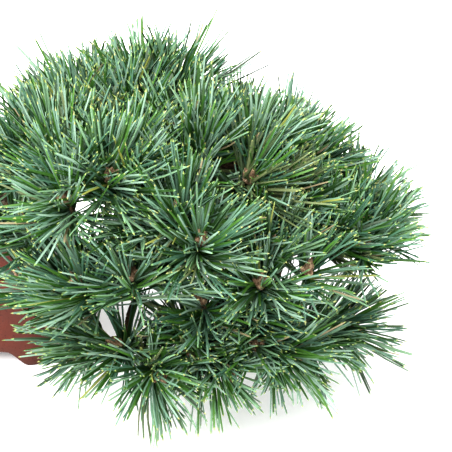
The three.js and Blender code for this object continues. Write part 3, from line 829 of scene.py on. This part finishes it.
def needleMesh(base, aim, outward, bend, length, width):
    # every needle at once: rings of three points, green outer face and two pale inner ones, and a pointed tip
    side = np.cross(aim, outward)
    rings = []
    for at, wide in zip(needleHabit["stations"], needleHabit["widths"]):
        middle = alongNeedles(base, aim, bend, length, at)
        for a, b in needleHabit["section"]:
            rings.append(middle + side * (width * wide * a)[:, None] + outward * (width * wide * b)[:, None])
    rings.append(alongNeedles(base, aim, bend, length, 1))
    points = np.stack(rings, 1)
    faces = []
    for ring in range(len(needleHabit["stations"]) - 1):
        for i in range(3):
            a, b = ring * 3 + i, ring * 3 + (i + 1) % 3
            faces += [(a, b, b + 3), (a, b + 3, a + 3)]
    last = (len(needleHabit["stations"]) - 1) * 3
    faces += [(last + i, last + (i + 1) % 3, last + 3) for i in range(3)]
    return points, np.array(faces)


def sprayNeedles(place, axis, draw):
    # bundles of five up the shoot, close to the tip pointing forwards and further down standing out
    n = needleHabit
    bundles, of = n["bundles"], n["bundleOf"]
    share = (np.arange(bundles) + 0.5) / bundles
    roll = draw.uniform(0, fullTurn)
    turn = np.arange(bundles) * goldenAngle + roll
    lean = mix(n["outerAngle"], n["innerAngle"], share ** n["angleShape"])
    lean = np.radians(lean + draw.normal(0, n["angleSpread"], bundles))
    side = acrossFrom(axis)
    across = np.cross(axis, side)
    around = side[None] * np.cos(turn)[:, None] + across[None] * np.sin(turn)[:, None]
    aim = axis[None] * np.cos(lean)[:, None] + around * np.sin(lean)[:, None]
    # needles turn up to the light: none points further down than its tuft's height lets it
    lowest = mix(n["lowestAim"], n["highestAim"], smoothStep(place[2], n["aimLow"], n["aimHigh"]))
    aim[:, 2] = np.maximum(aim[:, 2], lowest + draw.normal(0, n["aimSpread"], bundles))
    aim = unit(aim)
    base = place + axis[None] * ((share - 1) * n["shootLength"] - n["belowTip"])[:, None]
    base = base + around * n["shootRadius"]
    long = n["length"] * (1 + draw.normal(0, n["lengthSpread"], bundles)) * mix(1.0, n["atTip"], share)
    long = long * mix(1, n["topGrowth"], smoothStep(place[2], n["topFrom"], n["topFull"]))
    first = unit(np.cross(aim, unit(around + 0.01)))
    second = np.cross(aim, first)
    five = draw.uniform(0, fullTurn, bundles)[:, None] + np.arange(of)[None] * (fullTurn / of)
    five = five + draw.normal(0, n["turnSpread"], five.shape)
    splay = np.radians(n["splay"]) * draw.uniform(*n["eachSplay"], five.shape)
    out = first[:, None] * np.cos(five)[..., None] + second[:, None] * np.sin(five)[..., None]
    aims = unit(aim[:, None] + out * np.tan(splay)[..., None])
    outward = unit(out - aims * (out * aims).sum(2, keepdims=True))
    bow = np.clip(draw.normal(0.0, n["bend"], five.shape), -n["bendMost"], n["bendMost"])
    bend = outward * bow[..., None]
    bend = bend + unit(draw.normal(size=(*five.shape, 3))) * draw.uniform(0, n["bend"], five.shape)[..., None]
    bend = bend + unit(draw.normal(size=(bundles, 3)))[:, None] * n["bundleBend"]
    bend = bend + axis * draw.normal(n["forwardBend"], n["forwardSpread"], bundles)[:, None, None]
    bases = base[:, None] + out * n["footApart"]
    longs = long[:, None] * draw.uniform(*n["eachLength"], five.shape)
    widths = n["width"] * draw.uniform(*n["eachWidth"], five.shape)
    green = np.repeat(draw.integers(0, len(greens), bundles), of)
    blue = np.repeat(draw.integers(0, len(blues), bundles) + len(greens), of)
    tip = draw.integers(0, len(tips), five.size) + len(greens) + len(blues)
    dry = np.linalg.norm(place - np.array(n["dryPlace"])) < n["dryReach"]
    oldShare = n["dryShare"] if dry else n["oldShare"] * (1 - share) ** 2
    old = np.repeat(draw.random(bundles) < oldShare, of)
    oldLook = brownLook + 1 + draw.integers(0, len(oldGreens), five.size)
    green, blue = np.where(old, oldLook, green), np.where(old, oldLook, blue)
    odd = draw.random(five.size)
    for below, look in ((n["yellowShare"], yellowLook), (n["brownShare"], brownLook)):
        green[odd < below] = look
        blue[odd < below] = look
    return (bases.reshape(-1, 3), aims.reshape(-1, 3), outward.reshape(-1, 3), bend.reshape(-1, 3),
            longs.ravel(), widths.ravel(), green, blue, tip)


def roomFor(base, aim, bend, length):
    # needles that run into the pot, the ground, the trunk or a bough are left out
    fits = np.ones(len(base), bool)
    for at in (0.25, 0.5, 0.75, 1.0):
        point = alongNeedles(base, aim, bend, length, at)
        fits &= ~nearPot(point, needleHabit["potClear"])
        far = np.linalg.norm(point[:, None] - limbBeads[None, :, :3], axis=2)
        fits &= (far > limbBeads[None, :, 3] * needleHabit["limbPress"]).all(1)
    return fits


# where the sky shows through the crown from the front
skyWindows = {
    "circles": (  # right and up from the picture's middle, and radius, in mm
        (-72, 9, 9), (-49, -45, 9), (-62, -46, 7), (-38, -33, 7), (3, 31, 9.5), (38, -24, 10),
        (30, -22, 6), (53, -20, 8), (-10, -40, 8), (12, -75, 4), (77, 27, 6), (81, -20, 6),
        (-113, -18, 7), (-112, -31, 7), (-112, -44, 7), (-109, 13, 7),
    ),
    "smallest": 0.1, "largest": 1.05,  # the share of the radius that a bundle keeps out of
}


def clearOfWindows(base, aim, bend, length, draw):  # fewer needles the nearer to a window's middle, not none
    eye = np.array(stageSetup["aimAt"]) - stageSetup["distance"] * lookAlong
    of = needleHabit["bundleOf"]
    strict = np.repeat(draw.uniform(skyWindows["smallest"], skyWindows["largest"], len(base) // of), of)
    clear = np.ones(len(base), bool)
    for at in (0.15, 0.3, 0.45, 0.6, 0.75, 0.9, 1.0):
        point = alongNeedles(base, aim, bend, length, at) - eye
        scale = stageSetup["distance"] / (point @ lookAlong)
        right, up = point[:, 0] * scale, point @ lookUp * scale
        for x, y, radius in skyWindows["circles"]:
            clear &= np.hypot(right - x, up - y) > radius * strict
    return clear


def makeNeedles(mass):
    n = needleHabit
    draw = np.random.default_rng(500 + mass)
    sprays = [sprayNeedles(tuftPlaces[i], tuftAxes[i], draw) for i in grownMasses[mass][2]]
    columns = [np.concatenate(column) for column in zip(*sprays)]
    base, aim, outward, bend, length, width, green, blue, tip = columns
    fits = roomFor(base, aim, bend, length) & clearOfWindows(base, aim, bend, length, draw)
    # those that point down get little light and are thinned out
    kept = np.interp(-aim[:, 2], (n["thinFrom"], n["thinTo"]), (1.0, n["thinnest"]))
    fits &= np.repeat(draw.random(len(base) // n["bundleOf"]), n["bundleOf"]) < kept
    points, faces = needleMesh(base[fits], aim[fits], outward[fits], bend[fits], length[fits], width[fits])
    count, each = points.shape[:2]
    allFaces = (faces[None] + (np.arange(count) * each)[:, None, None]).reshape(-1, 3)
    # sides 0 and 1 of each ring are the pale inner faces, side 2 is the outer one
    ofRing = np.repeat(np.array([1, 1, 0]), 2)
    looks = np.concatenate([np.tile(ofRing, len(n["stations"]) - 1), [2, 2, 2]])
    dealt = np.stack([green[fits], blue[fits], tip[fits]], 1)[:, looks].ravel()
    name = masses[mass][0]
    makePiece(f"needles_spray_{name}", points.reshape(-1, 3), allFaces, needleLooks,
              [f"needles_{name}"], dealt, smooth=False)
    return len(allFaces)


triangles = sum(makeNeedles(mass) for mass in range(len(masses)))
print("needles made:", triangles, "triangles")


# Twigs and buds

twigBark = barkLook("twig bark", ((62, 48, 36), (96, 78, 60), (122, 102, 80), (144, 126, 102)), 520)
budLook = barkLook("bud scales", ((84, 66, 50), (134, 108, 84), (178, 150, 122), (214, 190, 162)), 700)


def makeTwigs(mass):
    t = twigHabit
    stem, twigs, carried = grownMasses[mass]
    draw = np.random.default_rng(900 + mass)
    parts = []

    def tube(line, thick, thin):
        def radiusAt(share, angles, middle):
            return mix(thick, thin, share) * (1 + t["ripple"] * np.sin(3 * angles + 31 * share))
        parts.append(barkTube(line, radiusAt, t["sides"], int(draw.integers(1 << 20)), t["barkDepth"]))

    tube(bezier(stem, np.linspace(0, 1, 2 * t["steps"])), boughHabit["thin"], t["thin"])
    for fork, goal, tuft in twigs:
        axis = tuftAxes[tuft]
        span = np.linalg.norm(goal - fork)
        swing = unit(draw.normal(size=3)) * span * t["wander"]
        neck = goal - axis * min(span * t["neckShare"], t["neckMost"])
        line = bezier((fork, mix(fork, neck, 0.5) + swing, neck, goal), np.linspace(0, 1, t["steps"]))
        tube(line, t["thick"], t["thin"])
    for tuft in carried:  # the shoot that the needles stand on
        place, axis = tuftPlaces[tuft], tuftAxes[tuft]
        start, end = place - axis * t["shootBelow"], place + axis * t["shootAbove"]
        tube(mix(start, end, np.linspace(0, 1, t["shootSteps"])[:, None]), t["shootThin"], t["shootThick"])
    points, faces = joined(parts)
    name = masses[mass][0]
    makePiece(f"twigs_{name}", points, faces, [twigBark], [f"needles_{name}"])


budHabit = {
    "length": 7.4, "width": 2.3, "fewest": 3, "most": 5, "lean": 44, "leanSpread": 6, "turnSpread": 0.25,
    "aboveTuft": 1.0, "sunk": 0.5, "middleLength": 1.15, "eachLength": (0.7, 0.95), "eachWidth": (0.85, 1.1),
    "scaleDepth": 0.09, "thinnest": 0.05, "sides": 10, "steps": 12,
}


def makeBuds(mass):
    b = budHabit
    draw = np.random.default_rng(1300 + mass)
    parts = []
    for tuft in grownMasses[mass][2]:
        place, axis = tuftPlaces[tuft] + tuftAxes[tuft] * b["aboveTuft"], tuftAxes[tuft]
        side = acrossFrom(axis)
        count = int(draw.integers(b["fewest"], b["most"] + 1))
        for i in range(count + 1):  # the first stands upright in the middle
            lean = 0 if i == 0 else math.radians(b["lean"] + draw.normal(0, b["leanSpread"]))
            arm = turned(side, axis, fullTurn * i / count + draw.normal(0, b["turnSpread"]))
            aim = axis * math.cos(lean) + arm * math.sin(lean)
            long = b["length"] * (b["middleLength"] if i == 0 else draw.uniform(*b["eachLength"]))
            wide = b["width"] * draw.uniform(*b["eachWidth"])

            def radiusAt(share, angles, middle):
                swell = math.sin(math.pi * (0.12 + 0.86 * share) ** 0.75)
                scales = 1 + b["scaleDepth"] * np.sin(5 * angles + 26 * share)
                return wide * max(swell, b["thinnest"]) * scales

            line = place + aim * np.linspace(-b["sunk"], long, b["steps"])[:, None]
            parts.append(skinOf(limbRings(line, radiusAt, b["sides"])))
    points, faces = joined(parts)
    name = masses[mass][0]
    makePiece(f"buds_{name}", points, faces, [budLook], [f"needles_{name}"])


for mass in range(len(masses)):
    makeTwigs(mass)
    makeBuds(mass)
print("twigs and buds made")


# Floor, light and camera

def makeStage():
    reach, white = stageSetup["floorReach"], (1, 1, 1, 1)
    corners = [(-reach, -reach, 0), (reach, -reach, 0), (reach, reach, 0), (-reach, reach, 0)]
    mesh = bpy.data.meshes.new("floor")
    mesh.from_pydata(corners, [], [(0, 1, 2, 3)])
    floor = bpy.data.objects.new("floor", mesh)
    look, _, _, shader = newLook("white paper")
    shader.inputs["Base Color"].default_value = grey(stageSetup["floorTone"])
    shader.inputs["Roughness"].default_value = 1
    shader.inputs["Specular IOR Level"].default_value = 0
    shader.inputs["Emission Color"].default_value = white
    shader.inputs["Emission Strength"].default_value = stageSetup["floorGlow"]
    mesh.materials.append(look)
    bpy.context.scene.collection.objects.link(floor)
    world = bpy.data.worlds.new("studio")
    bpy.context.scene.world = world
    world.use_nodes = True
    world.node_tree.nodes["Background"].inputs["Color"].default_value = white
    world.node_tree.nodes["Background"].inputs["Strength"].default_value = stageSetup["sky"]
    bpy.context.scene.view_settings.view_transform = "Standard"
    bpy.context.scene.view_settings.look = "Medium High Contrast"


def makeLight():
    light = bpy.data.lights.new("softbox", "AREA")
    light.shape = "DISK"
    light.size = stageSetup["keySize"]
    light.energy = stageSetup["key"]
    lamp = bpy.data.objects.new("softbox", light)
    lamp.location = toFrame([stageSetup["keyAt"]])[0]
    target = toFrame([stageSetup["aimAt"]])[0]
    lamp.rotation_euler = (Vector(target) - lamp.location).to_track_quat("-Z", "Y").to_euler()
    bpy.context.scene.collection.objects.link(lamp)


def makeCamera():
    lens = bpy.data.cameras.new("camera")
    lens.sensor_width = stageSetup["sensor"]
    lens.lens = stageSetup["sensor"] * stageSetup["focalPixels"] / stageSetup["frameWidth"]
    lens.clip_start = stageSetup["nearest"]
    lens.clip_end = stageSetup["furthest"]
    camera = bpy.data.objects.new("camera", lens)
    target = toFrame([stageSetup["aimAt"]])[0]
    camera.location = target - lookAlong * stageSetup["distance"] / 1000
    camera.rotation_euler = (math.radians(90) - rise, 0, 0)
    bpy.context.scene.collection.objects.link(camera)
    bpy.context.scene.camera = camera


makeStage()
makeLight()
makeCamera()
bpy.context.view_layer.update()
print("stage, light and camera made")
